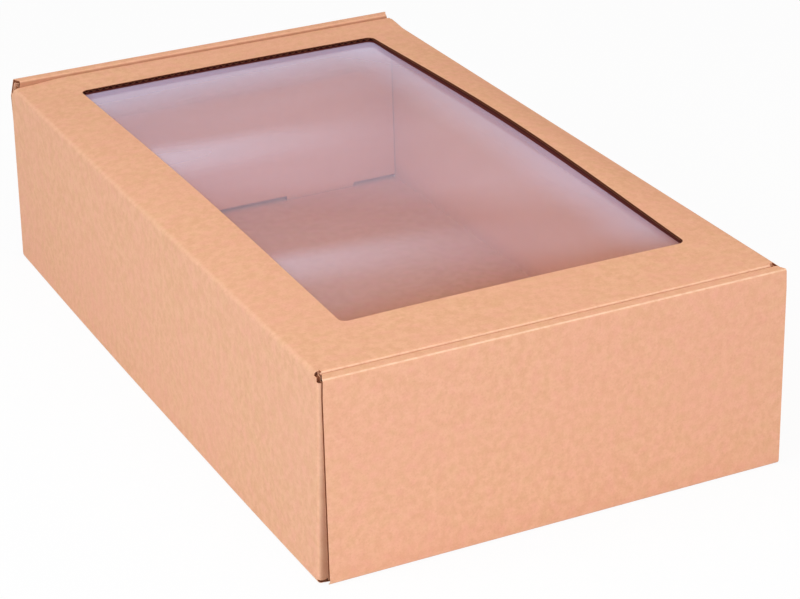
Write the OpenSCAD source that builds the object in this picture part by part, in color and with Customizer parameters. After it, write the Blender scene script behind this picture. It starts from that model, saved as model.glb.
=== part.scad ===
// Window wine box: a flat card box for lying bottles, folded from one die-cut sheet of
// fine corrugated board, with a clear film glued behind the window in its lid.
// Origin at the bottom centre. X runs from the hinge wall (-X) to the front wall (+X),
// Y along the box from the near end wall (-Y) to the far one (+Y), Z up.

/* [Box] */
// Overall length, over both end walls
box_l = 360; // [300:1:420]
// Overall width, over the hinge wall and the front wall
box_w = 200; // [160:1:240]
// Height of the lid's creases, at their top, above the table
lid_h = 87; // [60:0.5:130]
// How far the near end wall's spine lies below the lid's creases
near_end_drop = 0.5; // [0:0.1:3]
// How far the far end wall's spine stands above the lid's creases
far_end_rise = 2.8; // [0:0.1:6]

/* [Board] */
// Thickness of the corrugated board
board_t = 1.8; // [1.2:0.1:2.4]
// Inner radius of every crease
crease_r = 0.2; // [0.1:0.05:0.4]
// Flat stretch at each end of a crease, inside the stretch of board that it joins
crease_lead = 0.3; // [0.2:0.1:0.6]
// Gap on each side of a corner flap inside a rolled end wall
ply_gap = 0.1; // [0.05:0.05:0.3]
// How far an end wall's free edges stop short of the side walls' outer faces
end_inset = 0.7; // [0.3:0.1:1.5]
// Gap between an inner end panel and each side wall's inner face
skirt_side_gap = 0.5; // [0.3:0.1:1.5]

/* [Locking tabs] */
// Width of each tab on the inner end panels
tab_w = 37; // [20:1:50]
// Distance from the box's middle to the middle of a tab
tab_x = 55.5; // [40:0.5:60]
// Clearance around a tab in its slot in the floor
slot_gap = 0.4; // [0.2:0.1:0.8]
// Height of a tab's tip above the table
tab_tip_z = 0.2; // [0.1:0.1:0.6]
// Gap between the near inner panel and the floor
near_skirt_gap = 0.4; // [0.2:0.1:3]
// Gap between the far inner panel and the floor
far_skirt_gap = 2.2; // [0.2:0.1:3]

/* [Corner flaps] */
// Length of the flaps that the side walls put inside the rolled end walls
corner_flap_l = 72; // [40:1:75]
// Cut-back of a corner flap's free corners
corner_flap_cut = 12; // [5:1:20]
// Free play above and below a corner flap
corner_flap_play = 0.4; // [0.2:0.1:1]

/* [Lid] */
// Gap between the lid and each end wall
lid_end_gap = 0.3; // [0.2:0.1:0.8]
// Gap between the lid's front crease and the front wall's inner face
lid_front_gap = 0.4; // [0.3:0.1:0.8]
// Gap between the lid's underside and the walls that it closes on
lid_rest_gap = 0.3; // [0.2:0.1:0.6]
// Depth of the lid's side flaps, from the top of their creases
side_flap_d = 23.5; // [12:0.5:35]
// Distance from each end of a side flap to the wall beside it
side_flap_end_gap = 0.6; // [0.4:0.1:8]
// Cut-back of a side flap's free corners
side_flap_cut = 12; // [4:1:14]
// Depth of the lid's tuck flap, from the top of its crease
tuck_flap_d = 17; // [12:0.5:20]
// Inward lean of the tuck flap, in degrees
tuck_lean = 3; // [2.5:0.5:6]
// Distance from each end of the tuck flap to the end wall beside it
tuck_end_gap = 2.6; // [2.4:0.1:20]

/* [Rise of the lid] */
// How far the frame bows up over its creases at the window's hinge side
hinge_rise = 2.7; // [0.5:0.1:4]
// How far it bows up at the window's front side
front_rise = 5; // [0.5:0.1:6]
// How far it bows up at the window's near end
near_rise = 1.1; // [0.5:0.1:3]
// How far it bows up at the window's far end
far_rise = 1.8; // [0.5:0.1:3]
// How far the film bows up in the middle of the window
middle_rise = 6; // [5:0.1:8]

/* [Window] */
// Margin between the window and the hinge wall's outer face
win_hinge_margin = 26.5; // [20:0.5:40]
// Margin between the window and the front wall's outer face
win_front_margin = 22.5; // [20:0.5:40]
// Margin between the window and the near end wall's outer face
win_near_margin = 39.5; // [30:0.5:60]
// Margin between the window and the far end wall's outer face
win_far_margin = 27; // [20:0.5:60]
// Radius of the window's corners
win_r = 3.5; // [2:0.5:20]
// Thickness of the clear film
film_t = 0.25; // [0.15:0.05:0.5]
// Width of the glued margin of the film around the window
film_lap = 8; // [5:0.5:10]

/* [Hidden] */

kraft = [0.85, 0.64, 0.49];
clear_film = [0.86, 0.84, 0.9, 0.35];

arc_fn = 48;          // segments of a full circle
cut_past = 1;         // how far a cutting shape runs past what it cuts
rise_steps = 6;       // flat strips that the bow over the window is made of
rise_base = 12;       // depth of the block that the bow is cut from

crease_out = board_t + crease_r;                        // outer radius of a crease
end_stack = 3 * board_t + 2 * ply_gap;                  // thickness of a rolled end wall
side_face = box_w / 2;                                  // outer face of the side walls
side_inner = side_face - board_t;                       // their inner face
near_end_h = lid_h - near_end_drop;                     // height of the near end wall
far_end_h = lid_h + far_end_rise;                       // height of the far end wall
end_face = box_l / 2;                                   // outer face of the end walls
end_inner = end_face - end_stack;                       // their inner face
lid_under = lid_h - board_t;                            // underside of the lid
wall_top = lid_under - lid_rest_gap;                    // top edge of the side walls
corner_face = end_face - board_t - ply_gap;             // outer face of a corner flap
corner_bend = corner_face - crease_out;                 // where a side wall starts its corner bend
corner_top = min(near_end_h, far_end_h, lid_h) - board_t - corner_flap_play;
corner_low = board_t + corner_flap_play;
end_half_w = side_face - end_inset;                     // half the width of an outer end panel
skirt_half_w = side_inner - skirt_side_gap;             // half the width of an inner end panel

hinge_r = board_t / 2;                                  // rounding of the lid's hinged edge
hinge_x = -side_face + hinge_r;                         // hinge axis, along Y
hinge_z = lid_h - hinge_r;
lid_end = end_inner - lid_end_gap;                      // outer face of the lid's side flaps
lid_front = side_inner - lid_front_gap;                 // outermost point of the front crease
lid_x1 = lid_front - crease_out;                        // where the panel meets the front crease
lid_y1 = lid_end - crease_out;                          // where the panel meets a side flap's crease
side_flap_x0 = -side_inner + side_flap_end_gap;
side_flap_x1 = lid_front - board_t - side_flap_end_gap;
tuck_half_l = lid_end - tuck_end_gap;

win_x0 = -side_face + win_hinge_margin;
win_x1 = side_face - win_front_margin;
win_y0 = -end_face + win_near_margin;
win_y1 = end_face - win_far_margin;

// A crease in section: a band of board around the origin, from angle a0 to angle a1, with a
// flat lead at each end
module crease_section(a0, a1) {
    far = 2 * crease_out;
    mid = (a0 + a1) / 2;
    intersection() {
        difference() {
            circle(r = crease_out, $fn = arc_fn);
            circle(r = crease_r, $fn = arc_fn);
        }
        polygon([[0, 0], far * [cos(a0), sin(a0)], far * [cos(mid), sin(mid)], far * [cos(a1), sin(a1)]]);
    }
    rotate(a0) board_section([crease_r, -crease_lead], [crease_out, 0]);
    rotate(a1) board_section([crease_r, 0], [crease_out, crease_lead]);
}

// A plain stretch of board in section, between two corners
module board_section(low, high) {
    translate(low) square(high - low);
}

// Section of an outer end panel in the plane of Y (drawn as x) and Z (drawn as y):
// crease up from the floor, panel, crease into the spine, and the spine over the wall's top
module outer_panel_section(spine_h) {
    bend_z = spine_h - crease_out;
    translate([end_face - crease_out, crease_out]) crease_section(-90, 0);
    board_section([end_face - board_t, crease_out], [end_face, bend_z]);
    translate([end_face - crease_out, bend_z]) crease_section(0, 90);
    board_section([end_inner + crease_out, spine_h - board_t], [end_face - crease_out, spine_h]);
}

// Section of an inner end panel: crease down from the spine, and the panel to above the floor
module inner_panel_section(spine_h, skirt_gap) {
    bend_z = spine_h - crease_out;
    translate([end_inner + crease_out, bend_z]) crease_section(90, 180);
    board_section([end_inner, board_t + skirt_gap], [end_inner + board_t, bend_z]);
}

// Lays a section drawn in (Y, Z) along X, from -half to +half
module along_x(half) {
    translate([half, 0, 0]) rotate([90, 0, -90]) mirror([1, 0, 0]) linear_extrude(2 * half) children();
}

// Lays a section drawn in (X, Z) along Y, from -half to +half
module along_y(half) {
    translate([0, half, 0]) rotate([90, 0, 0]) linear_extrude(2 * half) children();
}

// One rolled end wall with its two locking tabs, at the +Y end
module end_wall(spine_h, skirt_gap) {
    along_x(end_half_w) outer_panel_section(spine_h);
    along_x(skirt_half_w) inner_panel_section(spine_h, skirt_gap);
    for (side = [-1, 1])
        translate([side * tab_x - tab_w / 2, end_inner, tab_tip_z])
            cube([tab_w, board_t, board_t + skirt_gap + crease_out - tab_tip_z]);
}

// Slots in the floor for one end wall's tabs, at the +Y end
module tab_slots() {
    for (side = [-1, 1])
        translate([side * tab_x - tab_w / 2 - slot_gap, end_inner - slot_gap, -cut_past])
            cube([tab_w + 2 * slot_gap, board_t + 2 * slot_gap, board_t + 2 * cut_past]);
}

// Outline of a corner flap, drawn with its crease on the left and its height upwards
module corner_flap_outline(flap_h) {
    polygon([[0, 0], [corner_flap_l - corner_flap_cut, 0], [corner_flap_l, corner_flap_cut],
             [corner_flap_l, flap_h - corner_flap_cut], [corner_flap_l - corner_flap_cut, flap_h], [0, flap_h]]);
}

// One side wall at -X: crease up from the floor, wall, corner bends and corner flaps
module side_wall() {
    flap_h = corner_top - corner_low;
    along_y(corner_bend) {
        translate([-side_face + crease_out, crease_out]) crease_section(180, 270);
        board_section([-side_face, crease_out], [-side_inner, corner_top]);
    }
    along_y(lid_end) board_section([-side_face, crease_out], [-side_inner, wall_top]);
    for (end = [-1, 1]) {
        scale([1, end, 1]) {
            translate([-side_face + crease_out, corner_bend, corner_low])
                linear_extrude(flap_h) crease_section(90, 180);
            translate([-side_face + crease_out, corner_face, corner_low])
                rotate([90, 0, 0]) linear_extrude(board_t) corner_flap_outline(flap_h);
        }
    }
}

// The folded sheet of the box, without the lid: floor, side walls and rolled end walls
module tray() {
    color(kraft) {
        difference() {
            translate([-side_face + crease_out, -end_face + crease_out, 0])
                cube([box_w - 2 * crease_out, box_l - 2 * crease_out, board_t]);
            tab_slots();
            mirror([0, 1, 0]) tab_slots();
        }
        end_wall(far_end_h, far_skirt_gap);
        mirror([0, 1, 0]) end_wall(near_end_h, near_skirt_gap);
        side_wall();
        mirror([1, 0, 0]) side_wall();
    }
}

// A rectangle with round corners
module round_rect(low, high, r) {
    size = high - low;
    translate(low + [r, 0]) square([size[0] - 2 * r, size[1]]);
    translate(low + [0, r]) square([size[0], size[1] - 2 * r]);
    for (x = [low[0] + r, high[0] - r])
        for (y = [low[1] + r, high[1] - r])
            translate([x, y]) circle(r = r, $fn = arc_fn);
}

// One side flap of the lid with its crease, at the +Y end
module lid_side_flap() {
    flap_l = side_flap_x1 - side_flap_x0;
    drop = side_flap_d - crease_out;
    translate([(side_flap_x0 + side_flap_x1) / 2, 0, 0]) along_x(flap_l / 2)
        translate([lid_end - crease_out, lid_h - crease_out]) crease_section(0, 90);
    translate([side_flap_x0, lid_end, lid_h - crease_out]) rotate([90, 0, 0]) linear_extrude(board_t)
        polygon([[0, 0], [0, -crease_lead], [side_flap_cut, -drop],
                 [flap_l - side_flap_cut, -drop], [flap_l, -crease_lead], [flap_l, 0]]);
}

// The lid's tuck flap with its crease, leaning in from the front wall
module lid_tuck_flap() {
    drop = tuck_flap_d - crease_out;
    along_y(tuck_half_l)
        translate([lid_front - crease_out, lid_h - crease_out]) {
            crease_section(-tuck_lean, 90);
            rotate(-tuck_lean) board_section([crease_r, -drop], [crease_out, 0]);
        }
}

// The bow of the lid in one direction, as points [place, height]: nothing at the two creases, a
// rise at each edge of the window, and most over its middle
function bow(crease0, edge0, edge1, crease1, rise0, rise1) =
    let (bulge = middle_rise - (rise0 + rise1) / 2)
    concat([[crease0 - cut_past, 0], [crease0, 0]],
           [for (k = [0:rise_steps]) let (share = k / rise_steps)
               [edge0 + (edge1 - edge0) * share, rise0 + (rise1 - rise0) * share + bulge * sin(180 * share)]],
           [[crease1, 0], [crease1 + cut_past, 0]]);

// The region under a bow whose ends lie at height top
module under_bow(points, top) {
    first = points[0];
    last = points[len(points) - 1];
    translate([0, top]) polygon(concat([[first[0], -rise_base]], points, [[last[0], -rise_base]]));
}

// The block under the lid's bowed face, lowered by drop: the lower of its two bows at each place
module under_lid_face(drop) {
    intersection() {
        along_y(end_face)
            under_bow(bow(hinge_x, win_x0, win_x1, lid_x1, hinge_rise, front_rise), lid_h - drop);
        along_x(side_face)
            under_bow(bow(-lid_y1, win_y0, win_y1, lid_y1, near_rise, far_rise), lid_h - drop);
    }
}

// A bowed sheet of thickness t, its top face lowered by drop, over a rectangle
module bowed_sheet(low, high, drop, t) {
    intersection() {
        translate([low[0], low[1], lid_h - rise_base]) cube([high[0] - low[0], high[1] - low[1], 2 * rise_base]);
        difference() {
            under_lid_face(drop);
            under_lid_face(drop + t);
        }
    }
}

// The lid: panel with the window cut out, rounded hinged edge, two side flaps and a tuck flap
module lid() {
    color(kraft) {
        difference() {
            bowed_sheet([hinge_x, -lid_y1], [lid_x1, lid_y1], 0, board_t);
            translate([0, 0, lid_h - rise_base]) linear_extrude(2 * rise_base)
                round_rect([win_x0, win_y0], [win_x1, win_y1], win_r);
        }
        along_y(lid_y1) translate([hinge_x, hinge_z]) circle(r = hinge_r, $fn = arc_fn);
        lid_side_flap();
        mirror([0, 1, 0]) lid_side_flap();
        lid_tuck_flap();
    }
}

// The clear film, glued to the lid's underside around the window
module window_film() {
    low = [win_x0 - film_lap, win_y0 - film_lap];
    high = [win_x1 + film_lap, win_y1 + film_lap];
    color(clear_film) bowed_sheet(low, high, board_t, film_t);
}

tray();
lid();
window_film();
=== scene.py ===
# %% [markdown]
# A flat window box for wine bottles, folded from one die-cut sheet of fine corrugated board.
# The imported model gives the frame: a tray, a lid on a hinge, and a clear film in the lid.
# This script keeps those sizes and gives each of them its true look: thin board with paper
# faces, creases that are rounded, a little worn and painted paler as a highlight, and cut
# edges that show the wavy core.

# %% Load the frame and keep its size
import math

import bmesh
import bpy
from mathutils import Matrix, Vector, noise
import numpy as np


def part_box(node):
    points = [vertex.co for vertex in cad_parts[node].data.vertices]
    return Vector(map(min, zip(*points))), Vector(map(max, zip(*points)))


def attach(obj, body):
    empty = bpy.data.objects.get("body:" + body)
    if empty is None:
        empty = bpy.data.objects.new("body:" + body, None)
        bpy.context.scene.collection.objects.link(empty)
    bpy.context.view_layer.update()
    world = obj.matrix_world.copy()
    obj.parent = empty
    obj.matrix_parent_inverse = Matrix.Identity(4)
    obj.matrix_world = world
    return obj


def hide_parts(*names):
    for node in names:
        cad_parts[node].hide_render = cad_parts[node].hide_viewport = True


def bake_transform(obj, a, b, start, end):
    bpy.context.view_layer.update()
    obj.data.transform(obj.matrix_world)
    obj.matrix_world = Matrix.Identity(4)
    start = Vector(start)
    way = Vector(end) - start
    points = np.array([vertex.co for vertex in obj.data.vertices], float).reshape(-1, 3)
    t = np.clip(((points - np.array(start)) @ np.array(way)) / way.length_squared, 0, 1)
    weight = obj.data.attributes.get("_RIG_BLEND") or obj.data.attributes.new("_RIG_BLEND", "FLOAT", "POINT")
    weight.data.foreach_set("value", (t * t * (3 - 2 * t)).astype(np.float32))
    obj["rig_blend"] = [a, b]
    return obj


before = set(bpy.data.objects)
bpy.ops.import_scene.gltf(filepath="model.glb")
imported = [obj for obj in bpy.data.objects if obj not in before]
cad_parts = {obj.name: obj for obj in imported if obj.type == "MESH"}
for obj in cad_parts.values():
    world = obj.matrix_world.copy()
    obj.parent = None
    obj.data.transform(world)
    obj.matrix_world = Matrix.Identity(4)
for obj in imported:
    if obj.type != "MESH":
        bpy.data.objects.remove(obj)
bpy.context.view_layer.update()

# %% [markdown]
# Every size below is in millimetres, as on a box maker's drawing, and each mesh is scaled to
# metres once, when it is finished. The overall sizes come from the frame. The rest are the
# board's own values: its thickness, its creases and the margins of the window.

# %% Sizes in millimetres
MM = 0.001


def corners_mm(node):
    """The lowest and the highest corner of a node of the frame, in millimetres."""
    low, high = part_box(node)
    return [c / MM for c in low], [c / MM for c in high]


tray_high = corners_mm("tray")[1]
lid_high = corners_mm("lid")[1]
film_low, film_high = corners_mm("window_film")

side_face = tray_high[0]            # outer face of the side walls, from the middle
end_face = tray_high[1]             # outer face of the end walls
far_end_h = tray_high[2]            # height of the far end wall's spine
lid_h = 87.0                        # height of the lid's creases, at their top
near_end_h = lid_h - 0.5            # height of the near end wall's spine

board_t = 1.8                       # thickness of the board
liner_t = 0.24                      # thickness of its paper faces
crease_out = 2.0                    # outer radius of a gentle crease, in floor and side walls
bend_r = 1.0                        # outer radius of a tight crease, in the spines and the lid
flute_pitch = 3.3                   # length of one wave of the core

end_stack = 5.6                     # thickness of a rolled end wall
end_inner = end_face - end_stack
end_half_w = side_face - 0.7        # half the width of an outer end panel
skirt_half_w = side_face - board_t - 0.5
tab_w, tab_x, tab_tip_z = 37.0, 55.5, 0.2
slot_gap = 0.4
near_skirt_gap, far_skirt_gap = 0.4, 2.2

lid_end = lid_high[1]               # outer face of the lid's side flaps
lid_front = lid_high[0]             # outermost point of the lid's front crease
lid_under = lid_h - board_t
wall_top = lid_under - 0.3
corner_bend = end_face - board_t - 0.1 - crease_out
corner_low, corner_top = board_t + 0.4, near_end_h - board_t - 0.4
corner_flap_l, corner_flap_cut = 72.0, 12.0
side_flap_x0, side_flap_x1 = -side_face + board_t + 0.6, lid_front - board_t - 0.6
side_flap_cut = 12.0
side_flap_low, tuck_flap_low = lid_h - 23.5, lid_h - 17.0
tuck_half_l, tuck_lean = lid_end - 2.6, 3.0

win_r = 3.5
win_x0, win_x1 = -side_face + 26.5, side_face - 22.5
win_y0, win_y1 = -end_face + 39.5, end_face - 27.0
print(f"box {2 * side_face:.0f} x {2 * end_face:.0f} x {far_end_h:.1f} mm")

# %% [markdown]
# A product photograph taken with a long lens has nearly parallel edges. The camera here stands
# 1.15 m away, to the left of the near end and 25 degrees above the table, and is rolled by two
# degrees. Its lens is long, so the box keeps the gentle perspective of such a picture.

# %% Camera
azimuth, elevation, roll = math.radians(-25.025), math.radians(24.568), math.radians(-1.936)
camera_distance = 1.1538
camera_target = Vector((0.01668, 0.0, 0.02052))
lens_mm, sensor_mm = 116.85, 36.0

toward_camera = Vector((
    math.sin(azimuth) * math.cos(elevation),
    -math.cos(azimuth) * math.cos(elevation),
    math.sin(elevation),
))
camera_data = bpy.data.cameras.new("camera")
camera_data.lens, camera_data.sensor_width = lens_mm, sensor_mm
camera = bpy.data.objects.new("camera", camera_data)
aim = (-toward_camera).to_track_quat("-Z", "Y").to_matrix().to_4x4()
camera.matrix_world = (
    Matrix.Translation(camera_target + camera_distance * toward_camera)
    @ aim @ Matrix.Rotation(roll, 4, "Z")
)
bpy.context.collection.objects.link(camera)
bpy.context.scene.camera = camera
print("camera at", [round(c, 3) for c in camera.matrix_world.translation])

# %% [markdown]
# Plain card looks best in soft, even light. A pale world lights every side, a large lamp above
# warms the lid, and a second one in front keeps the near walls as bright. The lamps stay at a
# level where a colour renders about as it was chosen. The background is white for the camera
# only: Light Path tells a ray that comes from the camera from one that lights the object. The
# lamp on the left stands high enough to reach the inside of the front wall through the window.

# %% World, lamps and floor
bpy.context.scene.view_settings.view_transform = "Standard"


def add_node(tree, kind, **settings):
    """A node of that kind; settings are its properties, or the values of its inputs."""
    made = tree.nodes.new(kind)
    for key, value in settings.items():
        if key.startswith("in_"):
            made.inputs[int(key[3:])].default_value = value
        else:
            setattr(made, key, value)
    return made


def seen_directly(tree):
    """1 for rays that show the background: from the camera, a mirror or through a film."""
    path = add_node(tree, "ShaderNodeLightPath")
    first = add_node(tree, "ShaderNodeMath", operation="MAXIMUM")
    tree.links.new(path.outputs["Is Camera Ray"], first.inputs[0])
    tree.links.new(path.outputs["Is Glossy Ray"], first.inputs[1])
    second = add_node(tree, "ShaderNodeMath", operation="MAXIMUM")
    tree.links.new(first.outputs[0], second.inputs[0])
    tree.links.new(path.outputs["Is Transmission Ray"], second.inputs[1])
    return second.outputs[0]


world = bpy.data.worlds.new("studio")
bpy.context.scene.world = world
world.use_nodes = True
sky = world.node_tree
sky.nodes.clear()
sky_light = add_node(sky, "ShaderNodeBackground", in_0=(1.0, 0.92, 0.96, 1), in_1=0.46)
sky_white = add_node(sky, "ShaderNodeBackground", in_0=(1, 1, 1, 1), in_1=1.0)
sky_mix = add_node(sky, "ShaderNodeMixShader")
sky_out = add_node(sky, "ShaderNodeOutputWorld")
sky.links.new(seen_directly(sky), sky_mix.inputs[0])
sky.links.new(sky_light.outputs[0], sky_mix.inputs[1])
sky.links.new(sky_white.outputs[0], sky_mix.inputs[2])
sky.links.new(sky_mix.outputs[0], sky_out.inputs[0])


def soft_lamp(name, place, width, power, colour):
    """A square area lamp that looks at the middle of the box."""
    data = bpy.data.lights.new(name, "AREA")
    data.size, data.energy, data.color = width, power, colour
    lamp = bpy.data.objects.new(name, data)
    lamp.location = place
    lamp.rotation_euler = (Vector((0, 0, 0.04)) - Vector(place)).to_track_quat("-Z", "Y").to_euler()
    bpy.context.collection.objects.link(lamp)
    return lamp


soft_lamp("top_lamp", (0.1, -0.35, 1.2), 1.3, 4.15, (1.0, 0.88, 0.58))
soft_lamp("front_lamp", (-0.35, -1.25, 0.55), 1.0, 5.4, (1.0, 1.12, 1.38))
soft_lamp("left_lamp", (-0.95, -0.2, 0.85), 0.9, 5.2, (1.0, 1.28, 1.45))

floor_mesh = bpy.data.meshes.new("floor")
floor_bm = bmesh.new()
bmesh.ops.create_grid(floor_bm, x_segments=1, y_segments=1, size=6.0)
floor_bm.to_mesh(floor_mesh)
floor_bm.free()
floor = bpy.data.objects.new("floor", floor_mesh)
bpy.context.collection.objects.link(floor)
floor_paint = bpy.data.materials.new("white floor")
floor_paint.use_nodes = True
paint = floor_paint.node_tree
paint.nodes.clear()
paint_matt = add_node(paint, "ShaderNodeBsdfDiffuse", in_0=(0.9, 0.9, 0.9, 1))
paint_white = add_node(paint, "ShaderNodeEmission", in_0=(1, 1, 1, 1), in_1=1.0)
paint_share = add_node(paint, "ShaderNodeMath", operation="MULTIPLY", in_1=0.93)
paint_mix = add_node(paint, "ShaderNodeMixShader")
paint_out = add_node(paint, "ShaderNodeOutputMaterial")
paint.links.new(seen_directly(paint), paint_share.inputs[0])
paint.links.new(paint_share.outputs[0], paint_mix.inputs[0])
paint.links.new(paint_matt.outputs[0], paint_mix.inputs[1])
paint.links.new(paint_white.outputs[0], paint_mix.inputs[2])
paint.links.new(paint_mix.outputs[0], paint_out.inputs[0])
floor.data.materials.append(floor_paint)

# %% [markdown]
# Kraft paper is never one colour. Seen close, it has clouds a few millimetres wide where the
# pulp is thicker, short fibres laid down across the flutes, and a faint ribbing where the paper
# has sunk into the waves below. Noise at three sizes makes the clouds, stretched noise makes
# the fibres, and a sine wave with the flute's pitch makes the ribs. They read Object
# coordinates, so the pattern keeps its real size on every panel. Three attributes on the mesh
# change the colour further. fold makes a crease paler: partly the stretched paper, whose fibres
# stand up, and partly a painted highlight along the crease. shade is painted shade, where the
# board lies in its own shade. inside is painted light: it makes the inner faces of the walls a
# tone paler than the outer ones, though both are the same paper.

# %% Kraft paper
def colour(red, green, blue):
    """A colour as picked on a screen, 0 to 255, as the linear values that a shader takes."""
    def linear(c):
        c = c / 255
        return c / 12.92 if c <= 0.04045 else ((c + 0.055) / 1.055) ** 2.4
    return (linear(red), linear(green), linear(blue), 1.0)


def new_material(name):
    """A material with one Principled shader, and its tree and shader for the next lines."""
    made = bpy.data.materials.new(name)
    made.use_nodes = True
    return made, made.node_tree, made.node_tree.nodes["Principled BSDF"]


def math_node(tree, operation, first, second):
    """A Math node on two values, each a socket or a number."""
    made = add_node(tree, "ShaderNodeMath", operation=operation)
    for place, value in enumerate((first, second)):
        if isinstance(value, (int, float)):
            made.inputs[place].default_value = value
        else:
            tree.links.new(value, made.inputs[place])
    return made.outputs[0]


def object_noise(tree, size_mm, detail=2.0, stretch=(1, 1, 1), shift=0.0):
    """Noise on Object coordinates whose blotches are about size_mm wide, from 0 to 1."""
    place = add_node(tree, "ShaderNodeTexCoord")
    turn = add_node(tree, "ShaderNodeMapping")
    turn.inputs["Scale"].default_value = [s / (size_mm * MM) for s in stretch]
    turn.inputs["Location"].default_value = (shift, shift, shift)
    clouds = add_node(tree, "ShaderNodeTexNoise")
    clouds.inputs["Scale"].default_value = 1.0
    clouds.inputs["Detail"].default_value = detail
    tree.links.new(place.outputs["Object"], turn.inputs["Vector"])
    tree.links.new(turn.outputs[0], clouds.inputs["Vector"])
    return clouds.outputs["Fac"]


def fade(tree, value, low, high, to_low=0.0, to_high=1.0):
    """Maps value smoothly from low..high to to_low..to_high and holds it there outside."""
    made = add_node(tree, "ShaderNodeMapRange", interpolation_type="SMOOTHSTEP")
    for name, number in (("From Min", low), ("From Max", high), ("To Min", to_low), ("To Max", to_high)):
        made.inputs[name].default_value = number
    tree.links.new(value, made.inputs["Value"])
    return made.outputs["Result"]


def tint(tree, share, below, above):
    """Mixes two colours, each a socket or a colour, by share."""
    made = add_node(tree, "ShaderNodeMix", data_type="RGBA")
    tree.links.new(share, made.inputs[0])
    for place, value in ((6, below), (7, above)):
        if isinstance(value, tuple):
            made.inputs[place].default_value = value
        else:
            tree.links.new(value, made.inputs[place])
    return made.outputs[2]


def flute_ribs(tree):
    """The waves of the core, from 0 to 1: across X on lid, floor and ends, across Z on the sides."""
    place = add_node(tree, "ShaderNodeTexCoord")
    split = add_node(tree, "ShaderNodeSeparateXYZ")
    facing = add_node(tree, "ShaderNodeSeparateXYZ")
    tree.links.new(place.outputs["Object"], split.inputs[0])
    tree.links.new(place.outputs["Normal"], facing.inputs[0])
    sideways = math_node(tree, "ABSOLUTE", facing.outputs[0], 0.0)
    on_side = math_node(tree, "GREATER_THAN", sideways, 0.7)
    across = add_node(tree, "ShaderNodeMix", data_type="FLOAT")
    tree.links.new(on_side, across.inputs[0])
    tree.links.new(split.outputs[0], across.inputs[2])
    tree.links.new(split.outputs[2], across.inputs[3])
    turns = math_node(tree, "MULTIPLY", across.outputs[0], 2 * math.pi / (flute_pitch * MM))
    wave = math_node(tree, "SINE", turns, 0.0)
    return fade(tree, wave, -1.0, 1.0)


kraft, tree, shader = new_material("kraft liner")
clouds = object_noise(tree, 3.2, detail=3.0)
base = tint(tree, fade(tree, clouds, 0.32, 0.68), colour(229, 170, 131), colour(238, 180, 142))
drift = object_noise(tree, 45.0, detail=2.0, shift=4.0)
base = tint(tree, fade(tree, drift, 0.3, 0.7, 0.0, 0.4), base, colour(238, 172, 142))
hue = object_noise(tree, 5.0, detail=1.0, shift=7.0)
base = tint(tree, fade(tree, hue, 0.5, 0.75, 0.0, 0.35), base, colour(238, 169, 143))
base = tint(tree, fade(tree, hue, 0.5, 0.25, 0.0, 0.35), base, colour(229, 177, 132))
grain = object_noise(tree, 0.8, detail=2.0, shift=9.0)
base = tint(tree, fade(tree, grain, 0.5, 0.8, 0.0, 0.2), base, colour(250, 205, 168))
base = tint(tree, fade(tree, grain, 0.5, 0.2, 0.0, 0.2), base, colour(196, 136, 99))
ribs = flute_ribs(tree)
# Paler creases: partly worn, stretched paper and partly a painted highlight along the crease.
crease_wear_and_highlight = add_node(tree, "ShaderNodeAttribute", attribute_name="fold")
patchy = fade(tree, object_noise(tree, 2.5, detail=2.0, shift=6.0), 0.25, 0.6, 0.45, 1.0)
scuff_and_highlight = math_node(tree, "MULTIPLY", crease_wear_and_highlight.outputs["Fac"], patchy)
base = tint(tree, math_node(tree, "MULTIPLY", scuff_and_highlight, 0.7), base, colour(255, 214, 178))
shade = add_node(tree, "ShaderNodeAttribute", attribute_name="shade")
base = tint(tree, shade.outputs["Fac"], base, colour(146, 94, 66))
# Painted light: inside makes the inner faces of the walls a tone paler, for light they lack.
inside = add_node(tree, "ShaderNodeAttribute", attribute_name="inside")
base = tint(tree, math_node(tree, "MULTIPLY", inside.outputs["Fac"], 0.6), base, colour(255, 191, 152))
tree.links.new(base, shader.inputs["Base Color"])
fibres = math_node(tree, "MULTIPLY", grain, 0.5)
relief = math_node(tree, "ADD", fibres, math_node(tree, "MULTIPLY", ribs, 0.2))
dents = add_node(tree, "ShaderNodeBump")
dents.inputs["Strength"].default_value = 0.1
dents.inputs["Distance"].default_value = 0.1 * MM
tree.links.new(relief, dents.inputs["Height"])
tree.links.new(dents.outputs[0], shader.inputs["Normal"])
shader.inputs["Roughness"].default_value = 0.88
shader.inputs["Specular IOR Level"].default_value = 0.25

# %% [markdown]
# The core between the two papers is a darker, coarser paper. At a cut it lies in its own shade,
# so it looks almost brown. The same material covers the walls of the narrow groove between the
# papers, with a slow change of tone so that no edge looks painted. The shade attribute adds
# painted shade: a deeper brown on the lower half of the window's cut and on the wavy core.

# %% Cut edge and core
core, tree, shader = new_material("fluted core")
clouds = object_noise(tree, 3.0, detail=3.0)
base = tint(tree, fade(tree, clouds, 0.3, 0.7), colour(140, 84, 56), colour(164, 100, 68))
# Painted shade: the shade attribute turns the core a deeper brown where it is set.
shade = add_node(tree, "ShaderNodeAttribute", attribute_name="shade")
base = tint(tree, shade.outputs["Fac"], base, colour(98, 42, 36))
tree.links.new(base, shader.inputs["Base Color"])
shader.inputs["Roughness"].default_value = 0.95
shader.inputs["Specular IOR Level"].default_value = 0.15
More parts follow.
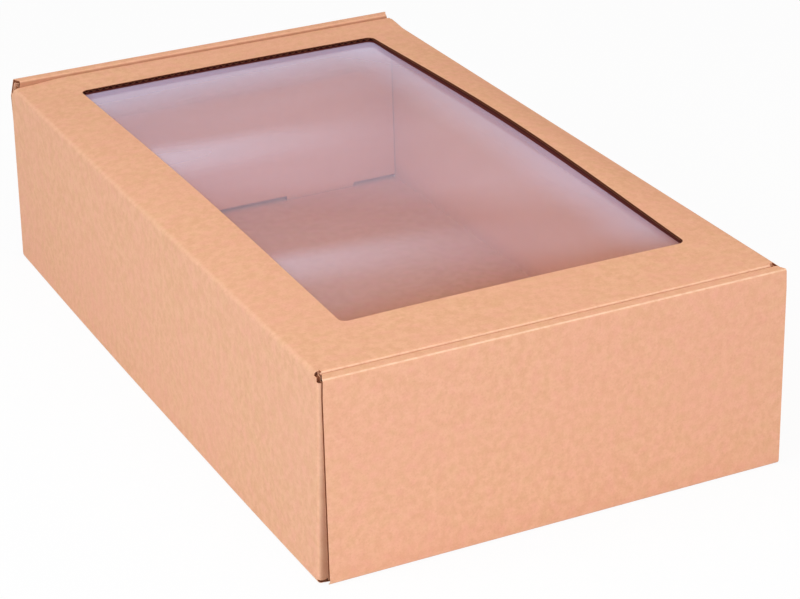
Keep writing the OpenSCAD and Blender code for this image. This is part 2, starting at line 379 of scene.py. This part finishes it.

# %% [markdown]
# The window is a thin clear film. Such a film is not invisible: it lays a lilac haze over what
# is behind it. Alpha gives the clear part, and the haze changes slowly along the film on its own
# Object coordinates. Painted reflection is mixed into that haze: it is higher over the far half
# than near the near edge, two soft pale bands lie where the film hangs a little loose, and it is
# brighter and bluer along the two edges where it lies pulled up under the board. These painted
# reflections stay where they are when the light moves.

# %% Clear film
# Painted reflection: the haze over the far half is higher than over the near half, and each entry of the
# list below is a pale band that stands in for a reflection on the film.
haze_high, haze_low = 0.22, 0.12            # the haze over the far half and over the near half
glare_bands = [                                  # a soft ridge's place, its widths and how pale it is
    (41.5, 22.0, 34.0, 0.17),
    (-90.0, 18.0, 30.0, 0.15),
]
near_clear, near_hazy = win_y0 - 12, win_y0 + 34    # the haze begins between these two places
film_paint, tree, shader = new_material("clear film")
place = add_node(tree, "ShaderNodeTexCoord")
split = add_node(tree, "ShaderNodeSeparateXYZ")
tree.links.new(place.outputs["Object"], split.inputs[0])
film_x, film_y = split.outputs[0], split.outputs[1]
across = math_node(tree, "ADD", math_node(tree, "MULTIPLY", film_x, 0.58), film_y)
haze_and_reflection = fade(tree, across, -70 * MM, -14 * MM, haze_low, haze_high)
# Painted reflection along the front and far edges: more haze there, and a bluer colour below.
front_edge_glare = math_node(tree, "POWER", fade(tree, film_x, (win_x1 - 30) * MM, (win_x1 + 8) * MM), 0.8)
far_edge_glare = math_node(tree, "POWER", fade(tree, film_y, (win_y1 - 55) * MM, (win_y1 + 14) * MM), 0.9)
haze_and_reflection = math_node(tree, "ADD", haze_and_reflection, math_node(tree, "MULTIPLY", front_edge_glare, 0.17))
haze_and_reflection = math_node(tree, "ADD", haze_and_reflection, math_node(tree, "MULTIPLY", far_edge_glare, 0.26))
glare = 0.0
for glare_band_y, far_w, near_w, pale in glare_bands:
    slanted = math_node(tree, "ADD", film_y, math_node(tree, "MULTIPLY", film_x, 0.15))
    beyond = fade(tree, slanted, (glare_band_y + far_w) * MM, glare_band_y * MM)
    before = fade(tree, slanted, (glare_band_y - near_w) * MM, glare_band_y * MM)
    one = math_node(tree, "MULTIPLY", math_node(tree, "MULTIPLY", beyond, before), pale)
    glare = math_node(tree, "ADD", glare, one)
glare = math_node(tree, "MULTIPLY", glare, fade(tree, film_x, 45 * MM, -85 * MM))
haze_and_reflection = math_node(tree, "ADD", haze_and_reflection, glare)
near_fade = fade(tree, film_y, near_clear * MM, near_hazy * MM, 0.05)
haze_and_reflection = math_node(tree, "MULTIPLY", haze_and_reflection, near_fade)
soft = object_noise(tree, 50.0, detail=2.0, stretch=(0.4, 1.0, 1.0), shift=3.0)
haze_and_reflection = math_node(tree, "ADD", haze_and_reflection, fade(tree, soft, 0.3, 0.7, -0.005, 0.015))
tree.links.new(haze_and_reflection, shader.inputs["Alpha"])
# The film's own lilac tint, then painted reflection: paler in the bands and bluer along the front and far
# edges.
base = tint(tree, fade(tree, soft, 0.3, 0.7), colour(238, 212, 234), colour(242, 216, 238))
base = tint(tree, math_node(tree, "MULTIPLY", glare, 5.0), base, colour(240, 225, 247))
edge_glare_share = math_node(tree, "MAXIMUM", far_edge_glare, math_node(tree, "MULTIPLY", front_edge_glare, 0.7))
base = tint(tree, edge_glare_share, base, colour(228, 222, 255))
tree.links.new(base, shader.inputs["Base Color"])
shader.inputs["Roughness"].default_value = 0.12
shader.inputs["IOR"].default_value = 1.9

# %% [markdown]
# A box maker folds one flat sheet, and so do the next helpers. A row of edges is pulled
# straight to make a panel, or turned about a line to make a crease with a round outside. Only
# the outer face of the board is drawn that way. Thickness comes last, once for the whole
# sheet, so that no wall is thicker than another and every edge is closed.

# %% Helpers that fold a sheet
def free_edges(bm, test):
    """The open edges of a sheet whose middle passes test(x, y, z)."""
    found = []
    for edge in bm.edges:
        middle = (edge.verts[0].co + edge.verts[1].co) / 2
        if edge.is_boundary and test(*middle):
            found.append(edge)
    return found


def ends_of(edges):
    """The vertices of these edges, each once, in a fixed order."""
    return list(dict.fromkeys(v for edge in edges for v in edge.verts))


def pull(bm, row, shift, steps=1):
    """Extrudes a row of edges by shift, in equal steps, and returns the new free row."""
    for _ in range(steps):
        made = bmesh.ops.extrude_edge_only(bm, edges=row)["geom"]
        row = [g for g in made if isinstance(g, bmesh.types.BMEdge)]
        bmesh.ops.translate(bm, verts=ends_of(row), vec=Vector(shift) / steps)
    return row


def fold(bm, row, centre, axis, degrees, wear_and_highlight=0.3, steps=6):
    """Turns a row of edges about a line, in two halves, and marks the bend's middle paler: stretched paper
    and painted highlight.
    """
    mark = bm.verts.layers.float["fold"]
    for half in (0, 1):
        made = bmesh.ops.spin(
            bm, geom=ends_of(row) + list(row), cent=centre, axis=axis, angle=math.radians(degrees / 2),
            steps=steps // 2, dvec=(0, 0, 0), use_merge=False, use_normal_flip=False, use_duplicate=False,
        )
        row = [g for g in made["geom_last"] if isinstance(g, bmesh.types.BMEdge)]
        if half == 0:
            for v in ends_of(row):
                v[mark] = wear_and_highlight
    for v in ends_of(row):
        v[mark] = 0.0
    return row


def cut_across(bm, places, axis):
    """Cuts the whole sheet by planes square to an axis, so that it has vertices there."""
    normal = [0, 0, 0]
    normal[axis] = 1
    for place in places:
        point = [0, 0, 0]
        point[axis] = place
        bmesh.ops.bisect_plane(
            bm, geom=bm.verts[:] + bm.edges[:] + bm.faces[:], dist=1e-5, plane_co=point, plane_no=normal,
        )


def stations(marks, widest):
    """The marks in order, with even places between them so that no gap is over widest."""
    marks = sorted(marks)
    found = []
    for low, high in zip(marks, marks[1:]):
        parts = max(1, math.ceil((high - low) / widest))
        found += [low + (high - low) * k / parts for k in range(parts)]
    return found + [marks[-1]]


def ease(value, low, high):
    """0 below low, 1 above high, and a smooth rise between."""
    share = min(1.0, max(0.0, (value - low) / (high - low)))
    return share * share * (3 - 2 * share)


# %% [markdown]
# Board is two papers with a wavy core between them, so a cut edge is not flat: the papers stand
# out as two thin lips with a groove between. The next helper gives the sheet its thickness,
# finds the faces that close it at its edges, and insets and sinks them to make that groove.
# bmesh.ops.solidify keeps the drawn face and adds the other one 1.8 mm inside it.

# %% Helpers that turn a sheet into board
def thicken(bm, thickness, square=None):
    """Closes a sheet into a board towards its inside, and returns the faces of its cut edges.

    Inside a tight crease the new vertices would cross over. square(v) puts each back on the
    inner planes, where they meet in one sharp corner and are merged.
    """
    drawn = set(bm.verts)
    bmesh.ops.solidify(bm, geom=bm.faces[:], thickness=thickness)
    if square:
        inner = [v for v in bm.verts if v not in drawn]
        for v in inner:
            square(v)
        bmesh.ops.remove_doubles(bm, verts=inner, dist=0.02)
    bm.normal_update()
    return [f for f in bm.faces if 0 < sum(v in drawn for v in f.verts) < len(f.verts)]


def groove(bm, rim, depth, lip_material=0):
    """Sinks the middle of the cut edges between the two papers, and paints it as core."""
    for face in rim:
        face.material_index = lip_material
    bmesh.ops.inset_region(bm, faces=rim, thickness=liner_t, use_even_offset=True, use_boundary=True)
    for face in rim:
        face.material_index = 1
    bmesh.ops.inset_region(
        bm, faces=rim, thickness=0.02, depth=-depth, use_even_offset=True, use_boundary=True,
    )


def finish_piece(bm, name, body, materials, smooth_angle=35.0):
    """Makes the object in metres, with faces outwards and only real edges sharp, on its body."""
    bmesh.ops.scale(bm, vec=(MM, MM, MM), verts=bm.verts[:])
    bmesh.ops.recalc_face_normals(bm, faces=bm.faces[:])
    for face in bm.faces:
        face.smooth = True
    mesh = bpy.data.meshes.new(name)
    bm.to_mesh(mesh)
    bm.free()
    mesh.set_sharp_from_angle(angle=math.radians(smooth_angle))
    piece = bpy.data.objects.new(name, mesh)
    bpy.context.collection.objects.link(piece)
    for material in materials:
        mesh.materials.append(material)
    if body:
        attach(piece, body)
    print(name, len(mesh.polygons), "faces")
    return piece


def new_sheet():
    """An empty bmesh with layers for paler creases (partly a painted highlight), painted shade and painted
    light.
    """
    bm = bmesh.new()
    bm.verts.layers.float.new("fold")
    bm.verts.layers.float.new("shade")
    bm.verts.layers.float.new("inside")
    return bm


def face_outwards(bm, direction):
    """Turns all faces the same way round, so that the first one looks in that direction."""
    bmesh.ops.recalc_face_normals(bm, faces=bm.faces[:])
    bm.normal_update()
    bm.faces.ensure_lookup_table()
    if bm.faces[0].normal.dot(Vector(direction)) < 0:
        bmesh.ops.reverse_faces(bm, faces=bm.faces[:])


# %% [markdown]
# The tray starts as its floor, one rectangle cut across at every place where something is
# folded or punched. The slots are the cells of that grid that are taken out. Side walls come
# first, with the flaps that turn the corners, and then the two ends, each rolled over itself:
# up, across the spine, down inside, with tabs that lock into the floor.

# %% Tray: the floor
tray = new_sheet()
floor_half_w, floor_half_l = side_face - crease_out, end_face - crease_out
bmesh.ops.create_grid(tray, x_segments=1, y_segments=1, size=1.0)
bmesh.ops.scale(tray, vec=(floor_half_w, floor_half_l, 1), verts=tray.verts[:])
tab_edges = [tab_x - tab_w / 2, tab_x + tab_w / 2]
slot_edges = [tab_edges[0] - slot_gap, tab_edges[1] + slot_gap]
slot_y0, slot_y1 = end_inner - slot_gap, end_inner + board_t + slot_gap
x_marks = [s * x for x in tab_edges + slot_edges + [floor_half_w] for s in (-1, 1)] + [0]
y_marks = [s * y for y in (slot_y0, slot_y1, corner_bend, lid_end, floor_half_l) for s in (-1, 1)] + [0]
cut_across(tray, stations(x_marks, 12.0)[1:-1], 0)
cut_across(tray, stations(y_marks, 12.0)[1:-1], 1)
punched = []
for face in tray.faces:
    x, y, _ = face.calc_center_median()
    if slot_edges[0] < abs(x) < slot_edges[1] and slot_y0 < abs(y) < slot_y1:
        punched.append(face)
bmesh.ops.delete(tray, geom=punched, context="FACES")
print("floor", len(tray.faces), "faces,", len(punched), "punched out")

# %% [markdown]
# The walls of a box that has been folded by hand are not quite upright. The hinge wall leans
# out a little towards its foot and is fullest at its middle, and the near end's foot is pushed
# in. Both are written as smooth formulas of the place on the wall, in millimetres, and are
# used on the drawn face, so that the thickness stays true.

# %% Tray: side walls and corner flaps
flap_foot_cut, flap_foot_h, flap_foot_run = 4.5, 25.0, 12.0
bend_shade_foot, bend_shade_top = 0.7, 0.3
hinge_foot_lean, hinge_belly, hinge_near_lean = 2.0, 1.6, 0.9
near_foot_push = 1.6


def hinge_lean(x, y, z):
    """How far the hinge wall stands out at a place, in -X; nothing at its top."""
    belly = hinge_belly * math.cos(0.5 * math.pi * y / end_face)
    near = hinge_near_lean * ease(-y, 0.0, end_face)
    return (hinge_foot_lean + belly + near) * (1 - min(1.0, z / wall_top)) * ease(-x, 55.0, floor_half_w)


def near_push(y, z):
    """How far the near end is pushed in, in +Y; nothing at its top or far from it."""
    return near_foot_push * (1 - min(1.0, z / near_end_h)) * ease(-y, 140.0, end_inner - 1.0)


def side_wall(bm, side):
    """One side wall at X = side, with its top edge and its two corner flaps.

    Beside the hinge crease a small ear of board stands up at the near corner. The corner flaps
    are cut up at their foot, and their bends lie in shade towards the end panels.
    """
    row = free_edges(bm, lambda x, y, z: abs(x - side * floor_half_w) < 0.01 and abs(y) < corner_bend)
    row = fold(bm, row, (side * floor_half_w, 0, crease_out), (0, 1, 0), -90 * side, wear_and_highlight=0.35)
    row = pull(bm, row, (0, 0, corner_low - crease_out))
    row = pull(bm, row, (0, 0, corner_top - corner_low), steps=9)
    under_lid = [e for e in row if abs((e.verts[0].co.y + e.verts[1].co.y) / 2) < lid_end]
    ears = [e for e in row if e not in under_lid and side < 0 and e.verts[0].co.y < 0]
    pull(bm, under_lid, (0, 0, wall_top - corner_top))
    if ears:
        pull(bm, ears, (0, 0, near_end_h - 0.4 - corner_top))
    shade = bm.verts.layers.float["shade"]
    for end in (-1, 1):
        before = set(bm.verts)
        column = free_edges(bm, lambda x, y, z: (
            abs(x - side * side_face) < 0.01 and abs(y - end * corner_bend) < 0.01
            and corner_low < z < corner_top
        ))
        flap = fold(bm, column, (side * floor_half_w, end * corner_bend, 0), (0, 0, 1), 90 * side * end)
        flap = pull(bm, flap, (-side * (corner_flap_l - corner_flap_cut), 0, 0), steps=5)
        tip = pull(bm, flap, (-side * corner_flap_cut, 0, 0))
        middle = (corner_low + corner_top) / 2
        shrink = 1 - 2 * corner_flap_cut / (corner_top - corner_low)
        for v in ends_of(tip):
            v.co.z = middle + (v.co.z - middle) * shrink
        for v in set(bm.verts) - before:
            past_bend = floor_half_w - abs(v.co.x)
            near_foot = max(0.0, 1 - (v.co.z - corner_low) / flap_foot_h)
            v.co.z += flap_foot_cut * near_foot * ease(past_bend, 0.0, flap_foot_run)
            turned = ease(abs(v.co.y), corner_bend + 0.4 * crease_out, corner_bend + crease_out)
            share = ease(v.co.z, 0.0, corner_top)
            v[shade] = turned * (bend_shade_foot + (bend_shade_top - bend_shade_foot) * share)


side_wall(tray, -1)
side_wall(tray, 1)
leans = tray.verts.layers.float.new("leans")
for v in tray.verts:
    on_floor_end = v.co.z < 0.01 and abs(v.co.y) > corner_bend + 0.01
    v[leans] = 0.0 if v.co.x > 0 or on_floor_end else 1.0
print("walls", len(tray.faces), "faces")


# %% Tray: rolled end walls
spine_shade = 0.45                  # how much shade lies on the inner panel just under its spine


def end_wall(bm, end, spine_h, skirt_gap, corner_crush):
    """One rolled end wall at Y = end: outer panel, spine, inner panel and two locking tabs.

    corner_crush is how far the ends of its spine are pressed in.
    """
    row = free_edges(bm, lambda x, y, z: abs(y - end * floor_half_l) < 0.01 and abs(z) < 0.01)
    before = set(bm.verts)
    bend_z = spine_h - bend_r
    row = fold(bm, row, (0, end * floor_half_l, crease_out), (1, 0, 0), 90 * end, wear_and_highlight=0.3)
    row = pull(bm, row, (0, 0, bend_z - crease_out), steps=12)
    row = fold(bm, row, (0, end * (end_face - bend_r), bend_z), (1, 0, 0), 90 * end, wear_and_highlight=1.0)
    outer = set(bm.verts) - before
    row = pull(bm, row, (0, -end * (end_stack - 2 * bend_r), 0))
    row = fold(bm, row, (0, end * (end_inner + bend_r), bend_z), (1, 0, 0), 90 * end, wear_and_highlight=0.35)
    row = pull(bm, row, (0, 0, board_t + skirt_gap - bend_z), steps=10)
    tabs = []
    for edge in row:
        if tab_edges[0] < abs((edge.verts[0].co.x + edge.verts[1].co.x) / 2) < tab_edges[1]:
            tabs.append(edge)
    pull(bm, tabs, (0, 0, tab_tip_z - board_t - skirt_gap))
    spine = bm.verts.layers.float["spine"]
    leans = bm.verts.layers.float["leans"]
    shade = bm.verts.layers.float["shade"]
    for v in set(bm.verts) - before - outer:
        rising, over = ease(v.co.z, bend_z - 12.0, bend_z), ease(v.co.z, bend_z, spine_h - 0.1)
        v[shade] = spine_shade * rising * (1 - over)
    for v in set(bm.verts) - before:
        v[spine] = spine_h
        v[leans] = 0.0
        if abs(v.co.x) > floor_half_w - 3.0:
            half_w = end_half_w if v in outer else skirt_half_w
            v.co.x = math.copysign(half_w - corner_crush * ease(v.co.z, spine_h - 7.0, spine_h), v.co.x)


def square_spine(v):
    """Puts an inner vertex of a rolled end wall back on the inner planes of its panels."""
    spine_h = v[spine_layer]
    if spine_h > 0 and v.co.z > near_end_h / 2:
        inside = min(end_face - board_t, max(end_inner + board_t, abs(v.co.y)))
        v.co.y = math.copysign(inside, v.co.y)
        v.co.z = min(v.co.z, spine_h - board_t)


tray.verts.layers.float.new("spine")
end_wall(tray, 1, far_end_h, far_skirt_gap, 1.8)
end_wall(tray, -1, near_end_h, near_skirt_gap, 0.3)
face_outwards(tray, (0, 0, -1))
spine_layer = tray.verts.layers.float["spine"]
rim = thicken(tray, board_t, square_spine)
meets_crease = [f for f in rim if f.calc_center_median().x < -side_face + board_t and f.normal.z > 0.9
                and abs(f.calc_center_median().z - wall_top) < 0.1]
groove(tray, [f for f in rim if f not in meets_crease], 0.8)
# Painted light: the inner faces of the walls, not the floor, are marked to be painted paler, fading out
# between 12 and 4 mm under the lid.
inside = tray.verts.layers.float["inside"]
for v in tray.verts:
    x, y, z = v.co
    if abs(x) < side_face - board_t + 0.05 and abs(y) < end_inner + 0.05 and z > board_t + 0.5:
        v[inside] = 1 - ease(z, lid_under - 12.0, lid_under - 4.0)
leans = tray.verts.layers.float["leans"]
for v in tray.verts:
    if v[leans] > 0.5:
        v.co.x -= hinge_lean(*v.co)
    v.co.y += near_push(v.co.y, v.co.z)
for name in ("spine", "leans"):
    tray.verts.layers.float.remove(tray.verts.layers.float[name])
tray_piece = finish_piece(tray, "tray_board", "tray", [kraft, core])
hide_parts("tray")

# %% [markdown]
# The lid is a frame around a large window, and a frame of board does not stay flat. Pulled by
# its flaps, it rises between them like a shallow dome, most at the middle of the front side.
# One formula gives that rise anywhere on the lid, so that board, core and film all follow it.
# At the window's cut the lower paper hangs a little, most along the front side, where the board
# was crushed as it was cut, and the film hangs with it.

# %% Lid: the rise of its frame
front_rise, hinge_rise, far_rise, near_rise = 4.5, 2.2, 0.4, 0.5
far_lift = 1.4                      # how far the far crease stands above the others
front_droop, end_droop = 1.7, 0.5
lid_x0, lid_x1 = -floor_half_w, lid_front - bend_r
lid_y = lid_end - bend_r


def ramp(value, low, peak, high):
    """0 at low and at high, 1 at peak, and nearly straight between."""
    share = (value - low) / (peak - low) if value < peak else (high - value) / (high - peak)
    return math.sin(0.5 * math.pi * min(1.0, max(0.0, share))) ** 0.9 if share > 0 else 0.0


def lid_rise(x, y):
    """How far the lid stands above its creases at a place."""
    along = max(0.0, math.cos(0.5 * math.pi * (y - 5.0) / (lid_y + 5.0))) ** 1.6
    from_middle = (x - (lid_x0 + lid_x1) / 2) / ((lid_x1 - lid_x0) / 2)
    across = max(0.0, math.cos(0.5 * math.pi * max(-1.0, min(1.0, from_middle)))) ** 0.8
    front = front_rise * along * ramp(x, win_x0, win_x1, lid_x1)
    hinge = hinge_rise * along * ramp(x, lid_x0, win_x0, win_x1)
    far = far_rise * across * ramp(y, win_y0, win_y1, lid_y)
    near = near_rise * across * ramp(y, -lid_y, win_y0, win_y1)
    lift = far_lift * ease(y, win_y1 + 2.0, lid_y) * ease(x, lid_x0, lid_x0 + 25.0)
    return front + hinge + far + near + lift


def lip_droop(x, y):
    """How far the lower paper and the film hang at a place on the window's cut, or near it."""
    middle = (win_y0 + win_y1) / 2
    half = (win_y1 - win_y0) / 2
    off_middle = min(1.0, abs(y - middle) / half)
    along = max(0.0, math.cos(0.5 * math.pi * off_middle)) ** 0.7 if off_middle < 1.0 else 0.0
    at_front = 1 - ease(abs(x - win_x1), 0.0, 36.0 if x < win_x1 else 3.0)
    at_far = 1 - ease(abs(y - win_y1), 0.0, 30.0 if y < win_y1 else 3.0)
    within = ease(x, win_x0 - 3.0, win_x0) * (1 - ease(x, win_x1, win_x1 + 3.0))
    return max((end_droop + (front_droop - end_droop) * along) * at_front, end_droop * at_far * within)


print("rise at the front side's middle", round(lid_rise(win_x1, 5.0), 2), "mm")


# %% [markdown]
# The frame is drawn from the window outwards. The window's outline is a rectangle whose four
# corners are bevelled round. That loop is extruded row by row, and each row is moved on
# towards the outer rectangle, so the faces stay even around the corners. A layer on the
# vertices remembers where on the window's outline each column started.

# %% Lid: frame
def window_loop(bm, round_steps, spacing, z):
    """The window's outline as a closed loop of edges at height z."""
    made = bmesh.ops.create_grid(bm, x_segments=1, y_segments=1, size=0.5)["verts"]
    bmesh.ops.scale(bm, verts=made, vec=(win_x1 - win_x0, win_y1 - win_y0, 1))
    bmesh.ops.translate(bm, verts=made, vec=((win_x0 + win_x1) / 2, (win_y0 + win_y1) / 2, z))
    bmesh.ops.bevel(
        bm, geom=bm.verts[:], offset=win_r, offset_type="OFFSET", affect="VERTICES",
        segments=round_steps, profile=0.5, material=-1,
    )
    bmesh.ops.delete(bm, geom=bm.faces[:], context="FACES_ONLY")
    for edge in [e for e in bm.edges if e.calc_length() > 2 * win_r]:
        parts = math.ceil(edge.calc_length() / spacing)
        bmesh.ops.subdivide_edges(bm, edges=[edge], cuts=parts - 1)
    return bm.edges[:]


def round_centre(x, y):
    """The nearest point of the rectangle that the window's corner arcs are centred on."""
    return (
        min(win_x1 - win_r, max(win_x0 + win_r, x)),
        min(win_y1 - win_r, max(win_y0 + win_r, y)),
    )


def towards_lid_edge(x, y, share):
    """Where a point of the window's outline lies, a share of the way to the lid's edge."""
    near_x, near_y = round_centre(x, y)
    dx, dy = x - near_x, y - near_y
    longest = max(abs(dx), abs(dy))
    reach_x = lid_x1 - near_x if dx > 0 else near_x - lid_x0
    reach_y = lid_y - near_y if dy > 0 else near_y + lid_y
    edge_x, edge_y = near_x + dx / longest * reach_x, near_y + dy / longest * reach_y
    return x + (edge_x - x) * share, y + (edge_y - y) * share


def away_from_window(x, y, distance):
    """Where a point of the window's outline lies when the outline is grown by distance."""
    near_x, near_y = round_centre(x, y)
    return x + (x - near_x) * distance / win_r, y + (y - near_y) * distance / win_r


def grow_rows(bm, row, places, move):
    """Extrudes the window's loop once for each of places, and puts each row where move says."""
    home = bm.verts.layers.float_vector.new("home")
    for v in bm.verts:
        v[home] = v.co
    for place in places:
        made = bmesh.ops.extrude_edge_only(bm, edges=row)["geom"]
        row = [g for g in made if isinstance(g, bmesh.types.BMEdge)]
        for v in ends_of(row):
            v.co.x, v.co.y = move(v[home].x, v[home].y, place)
    bm.verts.layers.float_vector.remove(home)
    return row


lid = new_sheet()
frame_rows = 7
loop = window_loop(lid, 10, 6.0, lid_h)
grow_rows(lid, loop, [k / frame_rows for k in range(1, frame_rows + 1)], towards_lid_edge)
cut_across(lid, (side_flap_x0, side_flap_x1), 0)
cut_across(lid, (-tuck_half_l, tuck_half_l), 1)
print("frame", len(lid.faces), "faces")

# %% [markdown]
# Three flaps hang from the frame, folded down like the walls but shorter. The side flaps slip
# inside the end walls and have cut-back corners. The tuck flap slips behind the front wall and
# leans in by a few degrees, because that is how its crease has set.

# %% Lid: flaps and thickness
for end in (-1, 1):
    row = free_edges(lid, lambda x, y, z: abs(y - end * lid_y) < 0.01 and side_flap_x0 < x < side_flap_x1)
    row = fold(lid, row, (0, end * lid_y, lid_h - bend_r), (1, 0, 0), -90 * end, wear_and_highlight=1.0)
    flap_top = lid_h - bend_r
    before = set(lid.verts)
    pull(lid, row, (0, 0, side_flap_low - flap_top), steps=5)
    middle = (side_flap_x0 + side_flap_x1) / 2
    for v in set(lid.verts) - before:
        depth = (flap_top - v.co.z) / (flap_top - side_flap_low)
        v.co.x = middle + (v.co.x - middle) * (1 - depth * side_flap_cut / (side_flap_x1 - middle))
row = free_edges(lid, lambda x, y, z: abs(x - lid_x1) < 0.01 and abs(y) < tuck_half_l)
row = fold(lid, row, (lid_x1, 0, lid_h - bend_r), (0, 1, 0), 90 + tuck_lean, wear_and_highlight=0.6)
tuck_drop = lid_h - bend_r - tuck_flap_low
lean = math.radians(tuck_lean)
pull(lid, row, (-tuck_drop * math.sin(lean), 0, -tuck_drop * math.cos(lean)), steps=4)
face_outwards(lid, (0, 0, 1))


def square_lid(v):
    """Puts an inner vertex of the lid back on the inner planes of its panel and flaps."""
    v.co.x = min(v.co.x, lid_front - board_t)
    v.co.y = math.copysign(min(abs(v.co.y), lid_end - board_t), v.co.y)
    v.co.z = min(v.co.z, lid_under)


rim = thicken(lid, board_t, square_lid)
window_rim, free_rim = [], []
for face in rim:
    x, y, _ = face.calc_center_median()
    if win_x0 - 1 < x < win_x1 + 1 and win_y0 - 1 < y < win_y1 + 1:
        window_rim.append(face)
    elif x > side_flap_x0 + 0.01 and not (x > side_flap_x1 and abs(y) > tuck_half_l):
        free_rim.append(face)
# Painted shade: the lower half of the window's cut is painted a deeper brown, for the shadow between the
# board and the film.
shade = lid.verts.layers.float["shade"]
for v in ends_of([e for f in window_rim for e in f.edges]):
    v[shade] = 1.0 if v.co.z < lid_h - board_t / 2 else 0.0
window_groove = 3.6
groove(lid, free_rim, 0.8)
groove(lid, window_rim, window_groove, lip_material=1)
for v in lid.verts:
    x, y, z = v.co
    v.co.z -= lip_droop(x, y) * ease(lid_h - z, 0.4 * board_t, board_t) if z > lid_under - 0.1 else 0.0
    if z > lid_h - board_t - bend_r:
        v.co.z += lid_rise(x, y)
    v.co.y += near_push(y, z)
lid_piece = finish_piece(lid, "lid_board", "lid", [kraft, core])
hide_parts("lid")

# %% [markdown]
# The window's cut shows the board's core, so the core is really there: a thin sheet that rises
# and falls with the flute's pitch across the box, inside the groove between the two papers.
# The flutes run along the box. At the far and near sides the cut shows their open ends, and
# along the other two sides it shows one long sloping web.

# %% Lid: the fluted core around the window
waves = new_sheet()
core_t, core_setback, core_shade = 0.2, 0.35, 0.55
wave_height = board_t / 2 - liner_t - core_t / 2
loop = window_loop(waves, 36, 0.42, lid_under + board_t / 2)
core_rows = 9
core_depth = window_groove - 0.3 - core_setback
depths = [core_setback + core_depth * k / core_rows for k in range(core_rows + 1)]
grow_rows(waves, loop, depths, away_from_window)
on_loop = [v for v in waves.verts if v.is_boundary and v in ends_of(loop)]
bmesh.ops.delete(waves, geom=on_loop, context="VERTS")
for v in waves.verts:
    v.co.z += lid_rise(v.co.x, v.co.y) + wave_height * math.sin(2 * math.pi * v.co.x / flute_pitch)
# Painted shade: the whole wavy core is painted darker, as it lies in shade deep in the groove.
shade = waves.verts.layers.float["shade"]
for v in waves.verts:
    v[shade] = core_shade
face_outwards(waves, (0, 0, 1))
thicken(waves, core_t)
finish_piece(waves, "window_core", "lid", [core])

# %% [markdown]
# The lid and the hinge wall are one sheet, and the crease between them bends when the lid
# opens.

# %% Hinge crease
hinge = new_sheet()
hinge_end_cut = 1.2
y_marks = stations((-lid_end, 0, lid_end), 12.0)
verts = [hinge.verts.new((-side_face, y, wall_top)) for y in y_marks]
row = [hinge.edges.new(pair) for pair in zip(verts, verts[1:])]
row = pull(hinge, row, (0, 0, lid_h - crease_out - wall_top))
row = fold(hinge, row, (lid_x0, 0, lid_h - crease_out), (0, 1, 0), 90, wear_and_highlight=0.12)
for v in hinge.verts:
    v.co.y *= 1 - hinge_end_cut / lid_end * ease(v.co.z, wall_top, lid_h)
face_outwards(hinge, (-1, 0, 0))
rim = thicken(hinge, board_t)
groove(hinge, [f for f in rim if abs(f.calc_center_median().y) > lid_y - 0.5], 0.8)
hinge_piece = finish_piece(hinge, "hinge_crease", None, [kraft, core])
inner_x, inner_z = -side_face + board_t, wall_top
bend_start = Vector((inner_x, 0, inner_z)) * MM
bend_end = bend_start + Vector((0.25, 0, 0.25)) * MM
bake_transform(hinge_piece, "tray", "lid", start=bend_start, end=bend_end)

# %% [markdown]
# The film is glued under the frame and stretched over the opening. It follows the frame's rise
# at the edges and spans straight between them, with a slow waviness of a few tenths of a
# millimetre, which is what bends the reflections in a real one.

# %% Film
film = new_sheet()
film_thick, film_drop = 0.12, 0.12
bmesh.ops.create_grid(film, x_segments=1, y_segments=1, size=0.5)
bmesh.ops.scale(film, verts=film.verts[:], vec=(film_high[0] - film_low[0], film_high[1] - film_low[1], 1))
film_middle = ((film_low[0] + film_high[0]) / 2, (film_low[1] + film_high[1]) / 2, lid_under - film_drop)
bmesh.ops.translate(film, verts=film.verts[:], vec=film_middle)
cut_across(film, stations((film_low[0], win_x0, win_x1, film_high[0]), 5.0)[1:-1], 0)
cut_across(film, stations((film_low[1], win_y0, win_y1, film_high[1]), 5.0)[1:-1], 1)


def film_wave(x, y):
    """The film's own slow waviness, nothing where it is glued."""
    inside = min(x - win_x0, win_x1 - x, y - win_y0, win_y1 - y)
    loose = ease(inside, 0.0, 30.0)
    return -0.5 * loose * (1 + noise.noise(Vector((x / 70, y / 38, 3.0))))


for v in film.verts:
    x, y, _ = v.co
    v.co.z += lid_rise(x, y) + film_wave(x, y) - lip_droop(x, y)
face_outwards(film, (0, 0, 1))
thicken(film, film_thick)
film_piece = finish_piece(film, "clear_film", "lid", [film_paint], smooth_angle=60.0)
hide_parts("window_film")
